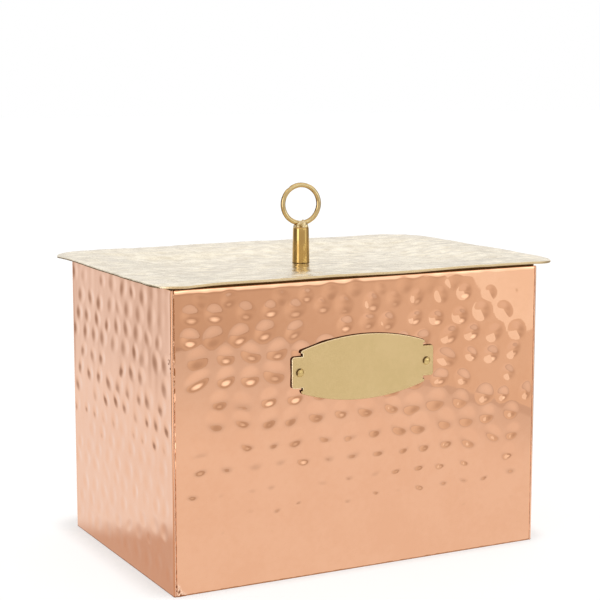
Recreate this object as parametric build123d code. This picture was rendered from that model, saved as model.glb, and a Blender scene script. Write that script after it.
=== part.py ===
from build123d import *
import os

# A lidded card box: four walls and a base of copper sheet, soldered at the seams,
# with a riveted label plate on the front, and a lift-off brass lid that carries a
# locating lip underneath and a post with a wire ring on top.
# Millimetres. The origin is the middle of the underside, +Z is up, the front faces -Y.

# ---- box -------------------------------------------------------------------
box_width = 178.0            # outside, along X
box_depth = 117.5            # outside, along Y
box_height = 127.0           # underside to the top of the rim
wall_sheet = 1.0             # thickness of the wall sheet
base_sheet = 1.0             # thickness of the base sheet
hem_leaf = 7.0               # height of the leaf folded down inside the rim
hem_relief = 3.0             # each leaf stops this far short of the next wall's leaf
rim_outer_radius = 0.7       # round of the fold on the outside of the rim
rim_inner_radius = 0.3       # round of the leaf on the inside of the rim
solder_leg = 2.0             # width of a solder fillet on each sheet that it joins
solder_hollow = 0.4          # middle of the fillet's hollow face, as a part of its leg

# ---- label plate and its rivets ----------------------------------------------
label_thickness = 1.0
label_body_width = 60.6      # the part with the bowed edges
label_tab_width = 4.3        # each end tab, beyond the body
label_tab_height = 13.4
label_end_height = 18.2      # height of the body at its ends
label_middle_height = 28.2   # height of the body at its middle
label_notch = 1.2            # square nick where a tab meets the body
label_drop = 38.1            # middle of the plate, below the top of the rim
label_shift = -0.5           # middle of the plate, from the middle of the front
rivet_spacing = 62.0
rivet_shank = 2.0            # diameter
rivet_head = 3.6             # diameter of the domed head
rivet_head_height = 1.0
rivet_tail = 3.4             # diameter of the end spread inside the box
rivet_tail_height = 0.8
rivet_clearance = 0.1        # around the shank, in the plate and in the wall

# ---- lid -------------------------------------------------------------------
lid_sheet = 1.1              # thickness of the lid plate
lid_overhang = 8.25          # plate beyond the walls, on every side
lid_corner_radius = 14.0
lid_edge_radius = 0.3
lid_gap = 2.0                # open height between the rim and the plate
dish_depth = 3.0             # the middle of the plate lies this much lower
dish_margin = 2.25           # flat plate kept inside the lip before the dish starts
dish_run = 28.0              # width of the dish's sloping border
dish_corner_radius = 6.0
lip_sheet = 1.0              # thickness of the lip's standing leg
lip_depth = 12.0             # from the underside of the plate to the foot of the lip
lip_clearance = 0.5          # between the lip and the leaf inside the rim
lip_bearing = 0.9            # width of the shoulder's reach over the rim
solder_below_lip = 3.0       # the corner solder ends this far below the lip's foot

# ---- finial and its screw --------------------------------------------------
post_foot_diameter = 7.9
post_top_diameter = 7.3
post_height = 16.2
post_edge = 0.4              # chamfer at the top of the post
ring_diameter = 19.6         # outside
ring_wire = 2.3              # diameter of the wire
ring_lift = 0.7              # braze between the post and the bottom of the ring
ring_turn = -6.0             # degrees about Z
braze_margin = 0.45          # the braze stands back this far from the post's edge
braze_height = 2.9
braze_round = 1.3
screw_diameter = 4.0
screw_engagement = 9.0       # length of shank inside the post
screw_bore_spare = 2.0       # depth of the bore beyond the screw's end
screw_clearance = 0.05       # around the shank, in the post
screw_head = 7.4
screw_head_height = 2.4
screw_slot_width = 1.0
screw_slot_depth = 1.1
washer_diameter = 9.4
washer_thickness = 0.8
hole_clearance = 0.2         # around the shank, in the plate and the washer

# ---- places worked out from the values above --------------------------------
hem_thickness = 2 * wall_sheet
inner_width = box_width - 2 * wall_sheet
inner_depth = box_depth - 2 * wall_sheet
lid_width = box_width + 2 * lid_overhang
lid_depth = box_depth + 2 * lid_overhang
lid_underside = box_height + lid_gap
lip_foot = lid_underside - lip_depth
lip_width = box_width - 2 * (hem_thickness + lip_clearance)
lip_length = box_depth - 2 * (hem_thickness + lip_clearance)
shoulder_width = box_width - 2 * (hem_thickness - lip_bearing)
shoulder_length = box_depth - 2 * (hem_thickness - lip_bearing)
dish_width = lip_width - 2 * (lip_sheet + dish_margin)
dish_length = lip_length - 2 * (lip_sheet + dish_margin)
dish_floor_top = lid_underside + lid_sheet - dish_depth
dish_floor_underside = lid_underside - dish_depth
label_height = box_height - label_drop
post_top = dish_floor_top + post_height
ring_middle = post_top + ring_lift + ring_diameter / 2

FROM_BELOW = (Align.CENTER, Align.CENTER, Align.MIN)
FROM_FRONT = (Align.CENTER, Align.MIN, Align.MIN)


def wall(length, leaf_length):
    """A standing sheet with a hemmed rim: outer face on y = 0, foot on z = 0."""
    sheet = Box(length, wall_sheet, box_height, align=FROM_FRONT)
    leaf = Box(leaf_length, wall_sheet, hem_leaf, align=FROM_FRONT)
    body = sheet + Pos(0, wall_sheet, box_height - hem_leaf) * leaf
    fold = body.edges().filter_by(Axis.X).group_by(Axis.Z)[-1].sort_by(Axis.Y)[0]
    body = fillet(fold, rim_outer_radius)
    lip = body.edges().filter_by(Axis.X).group_by(Axis.Z)[-1].sort_by(Axis.Y)[-1]
    return fillet(lip, rim_inner_radius)


def end_wall():
    """The front or back wall, which stands between the side walls."""
    return wall(inner_width, box_width - 2 * (hem_thickness + hem_relief))


def side_wall():
    """A side wall, which runs the full depth and covers the ends of the front and back."""
    return wall(box_depth, box_depth - 2 * (hem_thickness + hem_relief))


def rivet_places():
    """Where the rivets' axes cross the front face."""
    return [Pos(label_shift + side * rivet_spacing / 2, -box_depth / 2, label_height) for side in (-1, 1)]


def along_y(radius, start, end):
    """A round bar on an axis along +Y, from start to end."""
    bar = Cylinder(radius, end - start, align=FROM_BELOW)
    return Pos(0, start, 0) * Rot(-90, 0, 0) * bar


def front_panel():
    """The front wall, with the two rivet holes."""
    panel = Pos(0, -box_depth / 2, 0) * end_wall()
    hole = along_y(rivet_shank / 2 + rivet_clearance, -wall_sheet, 2 * wall_sheet)
    for place in rivet_places():
        panel -= place * hole
    return panel


def back_panel():
    return Pos(0, box_depth / 2, 0) * Rot(0, 0, 180) * end_wall()


def left_panel():
    return Pos(-box_width / 2, 0, 0) * Rot(0, 0, -90) * side_wall()


def right_panel():
    return Pos(box_width / 2, 0, 0) * Rot(0, 0, 90) * side_wall()


def base_panel():
    """The base, a plain sheet between the four walls."""
    return Box(inner_width, inner_depth, base_sheet, align=FROM_BELOW)


def corner_solder(side_x, side_y):
    """A hollow-faced fillet of solder up an inner corner of the box."""
    middle = solder_leg * solder_hollow
    outline = Curve() + [
        Line((0, 0), (solder_leg, 0)),
        ThreePointArc((solder_leg, 0), (middle, middle), (0, solder_leg)),
        Line((0, solder_leg), (0, 0)),
    ]
    column = extrude(make_face(outline), lip_foot - solder_below_lip - base_sheet)
    turn = {(-1, -1): 0, (1, -1): 90, (1, 1): 180, (-1, 1): 270}[side_x, side_y]
    corner = Pos(side_x * inner_width / 2, side_y * inner_depth / 2, base_sheet)
    return corner * Rot(0, 0, turn) * column


def base_solder():
    """The fillet of solder around the base, cut where the corner fillets stand."""
    ring = Pos(0, 0, base_sheet) * Box(inner_width, inner_depth, solder_leg, align=FROM_BELOW)
    floor = Pos(0, 0, base_sheet) * Rectangle(inner_width - 2 * solder_leg, inner_depth - 2 * solder_leg)
    mouth = Pos(0, 0, base_sheet + solder_leg) * Rectangle(inner_width, inner_depth)
    ring -= loft([floor, mouth], ruled=True)
    for side_x in (-1, 1):
        for side_y in (-1, 1):
            ring -= corner_solder(side_x, side_y)
    return ring


def label_plate():
    """A bow-edged plate with nicked end tabs, lying on the front wall."""
    half_body = label_body_width / 2
    half_end = label_end_height / 2
    half_middle = label_middle_height / 2
    outline = Curve() + [
        Line((-half_body, -half_end), (-half_body, half_end)),
        ThreePointArc((-half_body, half_end), (0, half_middle), (half_body, half_end)),
        Line((half_body, half_end), (half_body, -half_end)),
        ThreePointArc((half_body, -half_end), (0, -half_middle), (-half_body, -half_end)),
    ]
    face = make_face(outline) + Rectangle(label_body_width + 2 * label_tab_width, label_tab_height)
    for side_x in (-1, 1):
        for side_y in (-1, 1):
            nick_x = side_x * (half_body - label_notch / 2)
            nick_y = side_y * (label_tab_height + label_notch) / 2
            face -= Pos(nick_x, nick_y) * Rectangle(label_notch, label_notch)
        face -= Pos(side_x * rivet_spacing / 2, 0) * Circle(rivet_shank / 2 + rivet_clearance)
    plate = extrude(face, label_thickness)
    return Pos(label_shift, -box_depth / 2, label_height) * Rot(90, 0, 0) * plate


def label_rivet():
    """A rivet on an axis along +Y: domed head on the label plate, tail inside the wall."""
    head = along_y(rivet_head / 2, -label_thickness - rivet_head_height, -label_thickness)
    rim = head.edges().filter_by(GeomType.CIRCLE).sort_by(Axis.Y)[0]
    head = fillet(rim, 0.85 * rivet_head_height)
    shank = along_y(rivet_shank / 2, -label_thickness, wall_sheet)
    tail = along_y(rivet_tail / 2, wall_sheet, wall_sheet + rivet_tail_height)
    return head + shank + tail


def lid_plate():
    """The lid's sheet: a flat border with rounded corners and a dished middle."""
    plate = Pos(0, 0, lid_underside) * extrude(
        RectangleRounded(lid_width, lid_depth, lid_corner_radius), lid_sheet
    )
    outer_edges = plate.edges().filter_by(Plane.XY)
    plate = fillet(outer_edges, lid_edge_radius)
    brim = RectangleRounded(dish_width, dish_length, dish_corner_radius)
    floor = RectangleRounded(dish_width - 2 * dish_run, dish_length - 2 * dish_run, dish_corner_radius)
    dish = loft([brim, Pos(0, 0, -dish_depth) * floor], ruled=True)
    plate += Pos(0, 0, lid_underside) * dish
    plate -= Pos(0, 0, lid_underside + lid_sheet) * dish
    hole = Cylinder(screw_diameter / 2 + hole_clearance, 4 * lid_sheet)
    return plate - Pos(0, 0, dish_floor_underside) * hole


def lip_frame():
    """The whole lip: a standing leg inside the rim, and a shoulder that sits on the rim."""
    leg = Box(lip_width, lip_length, lip_depth, align=FROM_BELOW)
    shoulder = Box(shoulder_width, shoulder_length, lid_gap, align=FROM_BELOW)
    opening = Box(lip_width - 2 * lip_sheet, lip_length - 2 * lip_sheet, lip_depth, align=FROM_BELOW)
    frame = Pos(0, 0, lip_foot) * leg + Pos(0, 0, box_height) * shoulder
    return frame - Pos(0, 0, lip_foot) * opening


def lip_strip(quarter):
    """One side of the lip, mitred at both ends: 0 front, 1 right, 2 back, 3 left."""
    along = shoulder_width if quarter % 2 == 0 else shoulder_length
    across = shoulder_length if quarter % 2 == 0 else shoulder_width
    reach = min(along, across) / 3
    wedge = Polygon(
        (-along / 2, -across / 2),
        (along / 2, -across / 2),
        (along / 2 - reach, -across / 2 + reach),
        (-along / 2 + reach, -across / 2 + reach),
        align=None,
    )
    cutter = Pos(0, 0, lip_foot) * extrude(wedge, lip_depth)
    return lip_frame() & (Rot(0, 0, 90 * quarter) * cutter)


def finial_post():
    """A slightly tapered post with a blind bore for the screw."""
    post = Cone(post_foot_diameter / 2, post_top_diameter / 2, post_height, align=FROM_BELOW)
    post = chamfer(post.edges().group_by(Axis.Z)[-1], post_edge)
    bore_radius = screw_diameter / 2 + screw_clearance
    post -= Cylinder(bore_radius, screw_engagement + screw_bore_spare, align=FROM_BELOW)
    return Pos(0, 0, dish_floor_top) * post


def finial_ring():
    """The wire ring that stands on the post."""
    ring = Torus((ring_diameter - ring_wire) / 2, ring_wire / 2)
    return Pos(0, 0, ring_middle) * Rot(0, 0, ring_turn) * Rot(90, 0, 0) * ring


def finial_braze():
    """The bead of braze that holds the ring on the post, hollowed where the wire lies in it."""
    bead = Cylinder(post_top_diameter / 2 - braze_margin, braze_height, align=FROM_BELOW)
    bead = fillet(bead.edges().group_by(Axis.Z)[-1], braze_round)
    return Pos(0, 0, post_top) * bead - finial_ring()


def finial_washer():
    washer = Cylinder(washer_diameter / 2, washer_thickness, align=FROM_BELOW)
    washer -= Cylinder(screw_diameter / 2 + hole_clearance, washer_thickness, align=FROM_BELOW)
    return Pos(0, 0, dish_floor_underside - washer_thickness) * washer


def finial_screw():
    """A slotted pan-head screw, up through the washer and the plate into the post."""
    head = Cylinder(screw_head / 2, screw_head_height, align=FROM_BELOW)
    head = fillet(head.edges().group_by(Axis.Z)[0], screw_head_height / 3)
    head -= Box(screw_head, screw_slot_width, screw_slot_depth, align=FROM_BELOW)
    shank_length = washer_thickness + lid_sheet + screw_engagement
    shank = Cylinder(screw_diameter / 2, shank_length, align=FROM_BELOW)
    screw = head + Pos(0, 0, screw_head_height) * shank
    return Pos(0, 0, dish_floor_underside - washer_thickness - screw_head_height) * screw


left_rivet_place, right_rivet_place = rivet_places()

nodes = {
    "front_panel": front_panel(),
    "back_panel": back_panel(),
    "left_panel": left_panel(),
    "right_panel": right_panel(),
    "base_panel": base_panel(),
    "base_solder": base_solder(),
    "corner_solder_front_left": corner_solder(-1, -1),
    "corner_solder_front_right": corner_solder(1, -1),
    "corner_solder_back_left": corner_solder(-1, 1),
    "corner_solder_back_right": corner_solder(1, 1),
    "label_plate": label_plate(),
    "label_rivet_left": left_rivet_place * label_rivet(),
    "label_rivet_right": right_rivet_place * label_rivet(),
    "lid_plate": lid_plate(),
    "lid_lip_front": lip_strip(0),
    "lid_lip_right": lip_strip(1),
    "lid_lip_back": lip_strip(2),
    "lid_lip_left": lip_strip(3),
    "finial_post": finial_post(),
    "finial_ring": finial_ring(),
    "finial_braze": finial_braze(),
    "finial_washer": finial_washer(),
    "finial_screw": finial_screw(),
}

os.makedirs("parts", exist_ok=True)
for name, shape in nodes.items():
    export_step(shape, f"parts/{name}.step")
    size = shape.bounding_box().size
    print(f"{name}: {len(shape.solids())} solid, {shape.volume:.1f} mm3, {size.X:.2f} x {size.Y:.2f} x {size.Z:.2f}")
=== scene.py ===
# %% [markdown]
# # A hammered copper card box with a brass lid
# The box is soldered from four hammered walls and a base, all of one millimetre copper
# sheet. A loose brass lid sits on it and lifts off by a ring on a short post. The packed
# CAD model gives every size here. This script adds what the solids leave out: the hammer
# dents, folded rims, soldered seams, brushed and polished metal, a camera and a studio.

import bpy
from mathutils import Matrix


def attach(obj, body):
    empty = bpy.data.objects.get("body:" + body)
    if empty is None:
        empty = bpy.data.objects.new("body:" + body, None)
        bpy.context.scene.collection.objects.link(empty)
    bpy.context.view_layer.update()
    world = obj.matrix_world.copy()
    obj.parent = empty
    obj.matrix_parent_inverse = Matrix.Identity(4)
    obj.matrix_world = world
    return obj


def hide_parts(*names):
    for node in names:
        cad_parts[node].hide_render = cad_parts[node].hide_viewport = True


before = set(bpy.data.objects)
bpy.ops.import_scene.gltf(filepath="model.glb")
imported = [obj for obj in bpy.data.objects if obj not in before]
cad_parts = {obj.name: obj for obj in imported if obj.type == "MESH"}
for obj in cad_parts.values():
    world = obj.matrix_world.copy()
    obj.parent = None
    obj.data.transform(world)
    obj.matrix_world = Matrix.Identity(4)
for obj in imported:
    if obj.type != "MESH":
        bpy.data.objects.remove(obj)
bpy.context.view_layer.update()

# %% Tools
import math
import random

import bmesh
import bpy
import numpy as np
from mathutils import Matrix, Vector, noise

MM = 0.001  # the pieces are written in millimetres, and Blender's unit is the metre
scene = bpy.context.scene

# %% [markdown]
# ## The camera
# The photograph shows the front and the left side, from a little above and fairly far
# away. A pinhole camera was fitted to the corners of the box and of the lid. It stands
# 0.75 m from the middle of the box's underside, is turned 27 degrees towards +X and looks
# down by 8 degrees. Nothing is shifted, so other views can use the same lens.

# %% Camera
CAMERA_PLACE = (-0.33326, -0.64089, 0.21492)
LOOKS_DOWN, TURNED = 8.281, 27.443     # degrees
camera_data = bpy.data.cameras.new("camera")
camera_data.lens = 95.73
camera_data.sensor_width = 36.0
camera_data.clip_start = 0.02
camera_data.clip_end = 50.0
camera = bpy.data.objects.new("camera", camera_data)
camera.location = CAMERA_PLACE
camera.rotation_euler = (math.radians(90 - LOOKS_DOWN), 0, math.radians(-TURNED))
scene.collection.objects.link(camera)
scene.camera = camera
print("camera distance", round(camera.location.length, 3))

# %% [markdown]
# ## Node helpers
# Every material below is a small web of nodes. These helpers add a node, set its sockets
# and link it in one line, so that each recipe stays short enough to read. They all add to
# the tree in hand, which is the one that was started last.

# %% Node helpers
tree = None     # the tree in hand


def start_tree(owner):
    """Empties the node tree of a material or a world and takes it in hand."""
    global tree
    owner.use_nodes = True
    tree = owner.node_tree
    tree.nodes.clear()


def add_node(kind, inputs=None, **settings):
    """Adds a node. An input is given by its name or number, as a value or as a socket to link."""
    made = tree.nodes.new(kind)
    for key, value in settings.items():
        setattr(made, key, value)
    for key, value in (inputs or {}).items():
        if isinstance(value, bpy.types.NodeSocket):
            tree.links.new(value, made.inputs[key])
        else:
            made.inputs[key].default_value = value
    return made


def calc(operation, a, b=0.0, c=0.0):
    """A Math node's output."""
    return add_node("ShaderNodeMath", {0: a, 1: b, 2: c}, operation=operation).outputs[0]


def times(a, b):
    """The product of two values."""
    return calc("MULTIPLY", a, b)


def ease(value, start, end, low=0.0, high=1.0):
    """Goes smoothly from low to high while value goes from start to end."""
    ends = {"Value": value, "From Min": start, "From Max": end, "To Min": low, "To Max": high}
    return add_node("ShaderNodeMapRange", ends, interpolation_type="SMOOTHSTEP").outputs["Result"]


def blend_value(factor, a, b):
    """A Mix node on two numbers."""
    return add_node("ShaderNodeMix", {0: factor, 2: a, 3: b}).outputs[0]


def blend_colour(factor, a, b):
    """A Mix node on two colours, each a socket or (red, green, blue)."""
    a, b = ((*colour, 1.0) if isinstance(colour, tuple) else colour for colour in (a, b))
    return add_node("ShaderNodeMix", {0: factor, 6: a, 7: b}, data_type="RGBA").outputs[2]


def mix_shader(factor, a, b):
    """A Mix Shader node between two shader nodes."""
    return add_node("ShaderNodeMixShader", {0: factor, 1: a.outputs[0], 2: b.outputs[0]})


def speckle(vector, scale, detail=2.0, roughness=0.5):
    """A noise texture's value."""
    sockets = {"Vector": vector, "Scale": scale, "Detail": detail, "Roughness": roughness}
    return add_node("ShaderNodeTexNoise", sockets).outputs["Fac"]


# %% [markdown]
# ## The studio
# Polished copper shows the room more than itself. In the photograph the box stands on a
# white surface that ends about 0.6 m in front of it. Beyond its edge the room is dim and
# tan, and just over the horizon, more to the right, there is a low bright softbox. The
# tan part draws the darker, wavy field over the upper front, and the softbox a bright
# spot in each dent there. Flat light panels could be modelled, but most of them would get
# in the way of other views. So the room is a world that gives mirror rays one colour for
# each direction, while the camera sees plain white, as in the photograph.

# %% Directions
def ramp(value, stops):
    """A colour ramp from (position, colour) pairs."""
    made = add_node("ShaderNodeValToRGB", {"Fac": value})
    elements = made.color_ramp.elements
    while len(elements) < len(stops):
        elements.new(0.5)
    for element, (position, colour) in zip(elements, stops):
        element.position = position
        element.color = (*colour, 1.0)
    return made.outputs["Color"]


def by_compass(*stops):
    """Ramp stops from (degrees, colour): 0 is towards -Y, and degrees grow towards +X."""
    return [((degrees + 180) / 360, colour) for degrees, colour in stops]


def between(value, rise_from, rise_to, fall_from, fall_to):
    """1 in a range of value with soft ends, and 0 outside it."""
    return times(ease(value, rise_from, rise_to), ease(value, fall_from, fall_to, 1.0, 0.0))


world = bpy.data.worlds.new("studio")
scene.world = world
start_tree(world)
facing = add_node("ShaderNodeTexCoord").outputs["Generated"]
direction = add_node("ShaderNodeSeparateXYZ", {0: facing}).outputs
azimuth = calc("ARCTAN2", direction["X"], times(direction["Y"], -1.0))
azimuth = calc("DEGREES", azimuth)
elevation = calc("DEGREES", calc("ARCSINE", direction["Z"]))
compass = calc("MULTIPLY_ADD", azimuth, 1 / 360, 0.5)
in_front = between(azimuth, -62, -54, 84, 92)
to_the_right = between(azimuth, 25, 34, 58, 70)
print("directions", len(tree.nodes), "nodes")

# %% Lower half of the room
# In front the walls are tan, and darkest next to the paper and the softbox.
SOFTBOX_FOOT, SIDE_WALL_TOP = -3.0, 5.5     # degrees up to where this half ends, in front and elsewhere
WHITE, PALE, DIM, DARK = (1.0, 1.0, 1.0), (0.90, 0.90, 0.91), (0.46, 0.40, 0.37), (0.28, 0.25, 0.22)
TAN, LIT_TAN = (0.73, 0.67, 0.60), (0.92, 0.88, 0.81)
FAR_TAN, LOW_TAN = (0.62, 0.555, 0.49), (0.94, 0.91, 0.87)

low_band = ramp(compass, by_compass(
    (-180, WHITE), (-164, WHITE), (-159, PALE), (-148, DIM), (-136, DARK), (-90, DARK), (-80, WHITE),
    (-62, WHITE), (-54, TAN), (24, TAN), (36, LIT_TAN), (56, LIT_TAN), (68, DARK), (112, DARK),
    (124, WHITE), (180, WHITE)))
far = times(in_front, ease(elevation, -8, SOFTBOX_FOOT))
far = times(far, calc("MULTIPLY_ADD", to_the_right, -0.8, 1.0))
low_band = blend_colour(far, low_band, FAR_TAN)
near_paper = calc("SUBTRACT", in_front, to_the_right)
near_paper = times(near_paper, ease(elevation, -11.5, -8.5, 0.45, 0.0))
low_band = blend_colour(near_paper, low_band, FAR_TAN)
low_right = times(to_the_right, ease(elevation, -11, -14))
low_band = blend_colour(low_right, low_band, LOW_TAN)
print("lower half", len(tree.nodes), "nodes")

# %% Upper half of the room
# A low softbox just over the horizon, dimmer walls over it, and a softly uneven ceiling.
WALL, SIDE_WALL, BACK_WALL = (0.78, 0.74, 0.68), (0.32, 0.30, 0.27), (0.75, 0.75, 0.75)
CEILING = (0.72, 0.70, 0.67), (1.42, 1.39, 1.33)       # its dimmest and brightest parts
SOFTBOX = (1.45, 1.55, 1.58), (2.3, 2.5, 2.5)          # its foot and its top
STRIP = (2.7, 2.7, 2.7)
BACKDROP = (0.64, 0.62, 0.60), (1.24, 1.23, 1.22)      # its dimmest and brightest parts

walls = ramp(compass, by_compass(
    (-180, WHITE), (-150, BACK_WALL), (-132, SIDE_WALL), (-90, SIDE_WALL), (-76, WALL), (62, WALL),
    (76, SIDE_WALL), (112, SIDE_WALL), (124, WHITE), (180, WHITE)))
ceiling = ease(speckle(facing, 5.0, 1.0), 0.30, 0.70)
ceiling = blend_colour(ceiling, *CEILING)
high_band = blend_colour(ease(elevation, 20, 34), walls, ceiling)
softbox = between(azimuth, 0, 12, 48, 58)
softbox = times(softbox, between(elevation, SOFTBOX_FOOT, 1.0, 9.5, 13.0))
softbox_tone = blend_colour(ease(elevation, 2.5, 8.0), *SOFTBOX)
high_band = blend_colour(softbox, high_band, softbox_tone)
height_of_change = calc("MULTIPLY_ADD", in_front, SIDE_WALL_TOP - SOFTBOX_FOOT, elevation)
above = ease(height_of_change, SIDE_WALL_TOP - 0.3, SIDE_WALL_TOP + 0.3)
room = blend_colour(above, low_band, high_band)

# A bright upright strip at the front left draws the highlight down the post.
strip = times(between(azimuth, -84, -77, -61, -54), between(elevation, -30, -24, 18, 24))
room = blend_colour(strip, room, STRIP)

# Behind on the right, where the lid mirrors it, the backdrop is patchy, and brighter higher up.
patches = ease(speckle(facing, 20.0, 2.0), 0.36, 0.64)
patches = calc("MULTIPLY_ADD", ease(elevation, 2, 17), 0.6, times(patches, 0.4))
behind = times(ease(azimuth, 100, 118), ease(elevation, -1, 2))
room = blend_colour(behind, room, blend_colour(patches, *BACKDROP))
print("both halves", len(tree.nodes), "nodes")

# %% World output
path = add_node("ShaderNodeLightPath").outputs
plain = add_node("ShaderNodeBackground", {"Color": (1.0, 0.99, 0.97, 1.0), "Strength": 0.62})
white = add_node("ShaderNodeBackground", {"Color": (1.0, 1.0, 1.0, 1.0), "Strength": 1.0})
mirrored = add_node("ShaderNodeBackground", {"Color": room, "Strength": 1.0})
lit = mix_shader(path["Is Glossy Ray"], plain, mirrored)
seen = calc("MAXIMUM", path["Is Camera Ray"], path["Is Transmission Ray"])
shown = mix_shader(seen, lit, white)
add_node("ShaderNodeOutputWorld", {"Surface": shown.outputs[0]})
print("world", len(tree.nodes), "nodes")

# %% [markdown]
# The white surface is one large plane. To the camera and to light it is white paper that takes the object's
# soft shadow. To a mirror ray it is an even white sheet, a little dimmer towards its edges, and with a
# painted shadow in a strip beside the left wall, which the box shades. A mirror ray that meets it outside
# its real edges goes on into the room, and right at the edge it meets a dark line, painted shade on the
# paper's thickness, which fades out to the right.

# %% White surface
FRONT_EDGE, LEFT_EDGE = -0.605, -0.255     # where it ends, in front of the box and at its left
RIGHT_EDGE, RIGHT_SLANT = 0.294, 0.12      # its right end slants: x = RIGHT_EDGE + RIGHT_SLANT * y
SHADE_BACK, SHADE_SLANT = 0.1362, 0.87     # the shaded strip ends at y = SHADE_BACK + SHADE_SLANT * x
SHADE_RIGHT = -0.0885                      # and lies left of this x
EDGE_TONE, SHADE_TONE, BLACK = (0.50, 0.41, 0.34), (0.72, 0.57, 0.48), (0.0, 0.0, 0.0)


def mesh_object(name, bm, material):
    """Puts a finished bmesh into the scene as an object with one material."""
    mesh = bpy.data.meshes.new(name)
    bm.to_mesh(mesh)
    bm.free()
    mesh.materials.append(material)
    made = bpy.data.objects.new(name, mesh)
    scene.collection.objects.link(made)
    return made


paper = bpy.data.materials.new("white_paper")
start_tree(paper)
place = add_node("ShaderNodeTexCoord").outputs["Object"]
place = add_node("ShaderNodeSeparateXYZ", {0: place}).outputs
x, y = place["X"], place["Y"]
to_front = calc("SUBTRACT", y, FRONT_EDGE)
to_right = calc("SUBTRACT", calc("MULTIPLY_ADD", y, RIGHT_SLANT, RIGHT_EDGE), x)
to_left = calc("SUBTRACT", x, LEFT_EDGE)
inside = calc("MINIMUM", to_front, to_right)
paper_part = times(ease(inside, 0.0, 0.004), ease(to_left, -0.05, 0.05))
past_shade = calc("SUBTRACT", calc("MULTIPLY_ADD", x, -SHADE_SLANT, y), SHADE_BACK)
shade = times(ease(past_shade, 0.024, -0.024), calc("LESS_THAN", x, SHADE_RIGHT))
dimmer = calc("MAXIMUM", ease(to_front, 0.36, 0.0), ease(to_right, 0.12, 0.0, 0.0, 0.8))
# Painted shade: the dark line of the paper's edge, seen only in mirrors.
edge_line = between(inside, 0.0, 0.003, 0.016, 0.023)
edge_line = times(edge_line, ease(to_right, 0.02, 0.12, 0.25, 1.0))
mirror_tone = blend_colour(times(dimmer, 0.2), WHITE, BLACK)
mirror_tone = blend_colour(edge_line, mirror_tone, EDGE_TONE)
mirror_tone = blend_colour(shade, mirror_tone, SHADE_TONE)

path = add_node("ShaderNodeLightPath").outputs
glow = add_node("ShaderNodeEmission", {"Color": (1.0, 1.0, 1.0, 1.0), "Strength": 0.56})
matt = add_node("ShaderNodeBsdfDiffuse", {"Color": (0.5, 0.5, 0.5, 1.0)})
paper_look = add_node("ShaderNodeAddShader", {0: glow.outputs[0], 1: matt.outputs[0]})
in_mirrors = add_node("ShaderNodeEmission", {"Color": mirror_tone, "Strength": 1.0})
paper_look = mix_shader(path["Is Glossy Ray"], paper_look, in_mirrors)
gone = times(path["Is Glossy Ray"], calc("SUBTRACT", 1.0, paper_part))
paper_look = mix_shader(gone, paper_look, add_node("ShaderNodeBsdfTransparent"))
add_node("ShaderNodeOutputMaterial", {"Surface": paper_look.outputs[0]})

bm = bmesh.new()
bmesh.ops.create_grid(bm, x_segments=1, y_segments=1, size=6.0)
floor = mesh_object("white_surface", bm, paper)
print("white paper", len(tree.nodes), "nodes")

# %% [markdown]
# A low white card stands at the right, just past the surface, and leans to the left. It glows with its own
# light, as a lamp that only mirror rays see, and turns the upper right corner of the front pale. One soft
# sun from straight above lights the paper and presses a faint shadow under the box.

# %% Card and lamp
CARD_WIDE, CARD_HIGH, CARD_LEAN, CARD_MIDDLE = 0.28, 0.12, 0.66, (0.5574, -0.61, 0.048)
CARD_TONE, CARD_GLOW = (0.955, 1.0, 1.0, 1.0), 1.17
SUN_POWER, SUN_WIDE, TO_SUN = 1.2, 5, (-0.01, -0.05, 1.0)     # its width is in degrees

card_paper = bpy.data.materials.new("card_paper")
start_tree(card_paper)
glow = add_node("ShaderNodeEmission", {"Color": CARD_TONE, "Strength": CARD_GLOW})
add_node("ShaderNodeOutputMaterial", {"Surface": glow.outputs[0]})
upright = Matrix.Rotation(math.radians(90), 4, "X")
bm = bmesh.new()
bmesh.ops.create_grid(bm, x_segments=1, y_segments=1, size=0.5, matrix=upright)
bmesh.ops.scale(bm, vec=(CARD_WIDE, 1.0, CARD_HIGH), verts=bm.verts)
for v in bm.verts:
    v.co.x -= CARD_LEAN * v.co.z
bmesh.ops.translate(bm, vec=CARD_MIDDLE, verts=bm.verts)
card = mesh_object("white_card", bm, card_paper)
card.visible_camera = card.visible_diffuse = card.visible_shadow = False

lamp = bpy.data.lights.new("light_above", "SUN")
lamp.energy = SUN_POWER
lamp.angle = math.radians(SUN_WIDE)
overhead = bpy.data.objects.new("light_above", lamp)
overhead.rotation_euler = Vector(TO_SUN).to_track_quat("Z", "Y").to_euler()
overhead.visible_glossy = False
scene.collection.objects.link(overhead)
print("on the stage", floor.name, card.name, overhead.name)

# %% [markdown]
# ## Finishes
# Three effects turn up on nearly every metal here, so each is a node group that is built once: slow patches
# of slightly deeper colour, fine lines left by polishing, and a crumbly dark mask, which lays dark residue
# and also painted shade. Each puts out only a colour, a mask, a roughness or a height. Two attributes on
# the meshes steer them. The first says where it is dark: burnt flux in a seam is residue, while the line
# along the foot of the walls, the side edges of the lid, the sheared sides of the label and a crescent
# round each rivet head are painted shade. The second says where the metal has its second finish: a bare
# edge, the dull inside of the box, the post's deeper brass; the bright bevel at the label's upper left is a
# painted highlight, and the near black outside of the lip's shoulder is painted shade.

# %% Shared effects
def new_group(name, inputs, outputs):
    """Takes an empty node group in hand, with its sockets. A socket is (name, type, default)."""
    global tree
    tree = bpy.data.node_groups.new(name, "ShaderNodeTree")
    for in_out, sockets in (("INPUT", inputs), ("OUTPUT", outputs)):
        for label, kind, default in sockets:
            socket = tree.interface.new_socket(
                name=label, in_out=in_out, socket_type="NodeSocket" + kind)
            if default is not None:
                socket.default_value = default
    return tree, tree.nodes.new("NodeGroupInput").outputs, tree.nodes.new("NodeGroupOutput").inputs


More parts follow.
